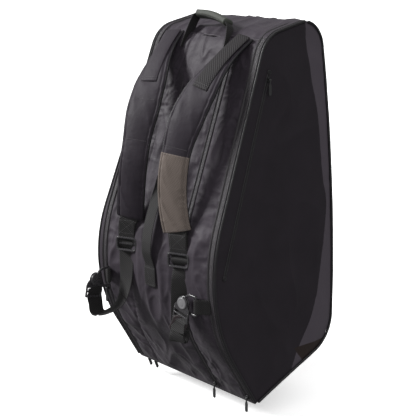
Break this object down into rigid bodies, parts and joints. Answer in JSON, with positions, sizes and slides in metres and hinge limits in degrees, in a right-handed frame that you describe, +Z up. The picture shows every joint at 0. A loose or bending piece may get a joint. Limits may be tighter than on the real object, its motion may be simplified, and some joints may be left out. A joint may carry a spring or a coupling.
{
  "type": "racket tournament bag",
  "caption": "Large upright racket bag: padded side-by-side compartments, zip-open side panels, padded shoulder straps with swivel buckles, grab and carry handles.",
  "frame": {"origin": "middle of the grab handle grip, where the bag is hung or lifted", "axes": "+X to the right-hand side panel, +Y to the flat rear face, +Z up along the length of the bag, keel end down"},
  "size_m": [0.375, 0.4176, 0.8275],
  "materials": {
    "shell_fabric": "fine matte weave, foam backed",
    "side_fabric": "plain matte weave",
    "accent_coated": "coated, satin",
    "divider_foam": "padded lining",
    "webbing": "ribbed webbing",
    "grip_fabric": "padded, ribbed",
    "pad_fabric": "matte, foam filled",
    "patch_fabric": "diagonal weave",
    "zip_tape": "woven tape with coil",
    "piping": "satin",
    "buckle_plastic": "moulded, satin",
    "cap_plastic": "grey, satin",
    "slider_metal": "black, satin",
    "pull_rubber": "moulded"
  },
  "bodies": {
    "bag": {"strap_face_panel": "shell_fabric", "middle_zip": "zip_tape", "front_gusset_left": "shell_fabric", "front_gusset_right": "shell_fabric", "rear_base_panel": "shell_fabric", "lower_slant_panel": "shell_fabric", "top_end_panel": "shell_fabric", "keel_zip": "zip_tape", "divider_left": "divider_foam", "divider_right": "divider_foam", "main_zip_left": "zip_tape", "main_zip_right": "zip_tape", "side_quarter_panel_left": "side_fabric", "side_quarter_panel_right": "side_fabric", "accent_panel_left": "accent_coated", "accent_panel_right": "accent_coated", "rear_piping": "piping", "grab_handle_webbing": "webbing", "grab_handle_grip": "grip_fabric", "carry_handle": "webbing", "carry_handle_patches": "webbing", "strap_anchors": "webbing", "swivel_tabs": "webbing", "adjuster_webbing_left": "webbing", "adjuster_webbing_right": "webbing"},
    "side_lid_left": {"side_panel_left": "side_fabric", "front_piping_left": "piping", "pocket_zip_left": "zip_tape"},
    "strap_left": {"shoulder_pad_left": "pad_fabric", "strap_top_band_left": "webbing", "strap_tab_left": "webbing", "ladder_lock_left": "buckle_plastic"},
    "d_loop_body_left": {"d_loop_left": "buckle_plastic", "swivel_cap_left": "cap_plastic"},
    "swivel_body_left": {"swivel_frame_left": "buckle_plastic"},
    "side_lid_right": {"side_panel_right": "side_fabric", "front_piping_right": "piping", "pocket_zip_right": "zip_tape"},
    "strap_right": {"shoulder_pad_right": "pad_fabric", "strap_top_band_right": "webbing", "strap_tab_right": "webbing", "ladder_lock_right": "buckle_plastic", "pad_patch_right": "patch_fabric"},
    "d_loop_body_right": {"d_loop_right": "buckle_plastic", "swivel_cap_right": "cap_plastic"},
    "swivel_body_right": {"swivel_frame_right": "buckle_plastic"},
    "slider_body_main_right": {"slider_main_right": "slider_metal"},
    "pull_body_main_right": {"pull_main_right": "pull_rubber"},
    "slider_body_main_left": {"slider_main_left": "slider_metal"},
    "pull_body_main_left": {"pull_main_left": "pull_rubber"},
    "slider_body_middle": {"slider_middle": "slider_metal"},
    "pull_body_middle": {"pull_middle": "pull_rubber"},
    "slider_body_keel_outer": {"slider_keel_outer": "slider_metal"},
    "pull_body_keel_outer": {"pull_keel_outer": "pull_rubber"},
    "slider_body_keel_inner": {"slider_keel_inner": "slider_metal"},
    "pull_body_keel_inner": {"pull_keel_inner": "pull_rubber"},
    "slider_body_pocket_right": {"slider_pocket_right": "slider_metal"},
    "pull_body_pocket_right": {"pull_pocket_right": "pull_rubber"},
    "slider_body_pocket_left": {"slider_pocket_left": "slider_metal"},
    "pull_body_pocket_left": {"pull_pocket_left": "pull_rubber"}
  },
  "joints": [
    {"name": "side_lid_right_fold", "type": "hinge", "parent": "bag", "child": "side_lid_right", "pos_m": [0.1835, -0.072, -0.785], "axis": [-0.0351, 0.2253, 0.9737], "range_deg": [0, 25]},
    {"name": "side_lid_left_fold", "type": "hinge", "parent": "bag", "child": "side_lid_left", "pos_m": [-0.1835, -0.072, -0.785], "axis": [-0.0351, -0.2253, -0.9737], "range_deg": [0, 25]},
    {"name": "strap_right_swing", "type": "hinge", "parent": "bag", "child": "strap_right", "pos_m": [0.097, -0.036, -0.05], "axis": [-1, 0, 0], "range_deg": [0, 15], "deforming": ["adjuster_webbing_right"]},
    {"name": "strap_left_swing", "type": "hinge", "parent": "bag", "child": "strap_left", "pos_m": [-0.097, -0.036, -0.05], "axis": [-1, 0, 0], "range_deg": [0, 15], "deforming": ["adjuster_webbing_left"]},
    {"name": "d_loop_right_swing", "type": "hinge", "parent": "bag", "child": "d_loop_body_right", "pos_m": [0.136, -0.194, -0.545], "axis": [0, 0, 1], "range_deg": [0, 50], "deforming": ["adjuster_webbing_right"]},
    {"name": "d_loop_left_swing", "type": "hinge", "parent": "bag", "child": "d_loop_body_left", "pos_m": [-0.136, -0.194, -0.545], "axis": [0, 0, 1], "range_deg": [-20, 40], "deforming": ["adjuster_webbing_left"]},
    {"name": "swivel_right_turn", "type": "hinge", "parent": "d_loop_body_right", "child": "swivel_body_right", "pos_m": [0.102, -0.194, -0.545], "axis": [0, 1, 0], "range_deg": [-8, 30], "deforming": ["adjuster_webbing_right"]},
    {"name": "swivel_left_turn", "type": "hinge", "parent": "d_loop_body_left", "child": "swivel_body_left", "pos_m": [-0.136, -0.228, -0.545], "axis": [1, 0, 0], "range_deg": [-25, 25], "deforming": ["adjuster_webbing_left"]},
    {"name": "slider_main_right_travel", "type": "slide", "parent": "bag", "child": "slider_body_main_right", "axis": [-0.0312, -0.4998, 0.8656], "range_m": [-0.006, 0.095]},
    {"name": "pull_main_right_swing", "type": "hinge", "parent": "slider_body_main_right", "child": "pull_body_main_right", "pos_m": [0.17291, -0.0882, -0.76895], "axis": [1, 0, 0], "range_deg": [-120, 20]},
    {"name": "slider_middle_travel", "type": "slide", "parent": "bag", "child": "slider_body_middle", "axis": [0, -0.5, 0.866], "range_m": [-0.006, 0.095]},
    {"name": "pull_middle_swing", "type": "hinge", "parent": "slider_body_middle", "child": "pull_body_middle", "pos_m": [0.078, -0.0882, -0.76895], "axis": [1, 0, 0], "range_deg": [-120, 20]},
    {"name": "slider_main_left_travel", "type": "hinge", "parent": "bag", "child": "slider_body_main_left", "pos_m": [-0.1664, 0.14874, -0.50733], "axis": [-1, 0, 0], "range_deg": [-12, 25]},
    {"name": "pull_main_left_swing", "type": "hinge", "parent": "slider_body_main_left", "child": "pull_body_main_left", "pos_m": [-0.1664, -0.17782, -0.58641], "axis": [1, 0, 0], "range_deg": [-120, 8]},
    {"name": "slider_keel_outer_travel", "type": "slide", "parent": "bag", "child": "slider_body_keel_outer", "axis": [1, 0, 0], "range_m": [-0.002, 0]},
    {"name": "pull_keel_outer_swing", "type": "hinge", "parent": "slider_body_keel_outer", "child": "pull_body_keel_outer", "pos_m": [-0.173, -0.05787, -0.78606], "axis": [0, 0.935, 0.3547], "range_deg": [-8, 60]},
    {"name": "slider_keel_inner_travel", "type": "slide", "parent": "bag", "child": "slider_body_keel_inner", "axis": [1, 0, 0], "range_m": [0, 0.3]},
    {"name": "pull_keel_inner_swing", "type": "hinge", "parent": "slider_body_keel_inner", "child": "pull_body_keel_inner", "pos_m": [-0.151, -0.05787, -0.78606], "axis": [0, 0.935, 0.3547], "range_deg": [-60, 8]},
    {"name": "slider_pocket_right_travel", "type": "slide", "parent": "side_lid_right", "child": "slider_body_pocket_right", "axis": [0.0337, -0.3466, -0.9374], "range_m": [-0.004, 0.385]},
    {"name": "pull_pocket_right_swing", "type": "hinge", "parent": "slider_body_pocket_right", "child": "pull_body_pocket_right", "pos_m": [0.16823, -0.01416, -0.11225], "axis": [0, -1, 0], "range_deg": [0, 110]},
    {"name": "slider_pocket_left_travel", "type": "slide", "parent": "side_lid_left", "child": "slider_body_pocket_left", "axis": [-0.0337, -0.3466, -0.9374], "range_m": [-0.004, 0.385]},
    {"name": "pull_pocket_left_swing", "type": "hinge", "parent": "slider_body_pocket_left", "child": "pull_body_pocket_left", "pos_m": [-0.16823, -0.01416, -0.11225], "axis": [0, 1, 0], "range_deg": [0, 110]}
  ]
}
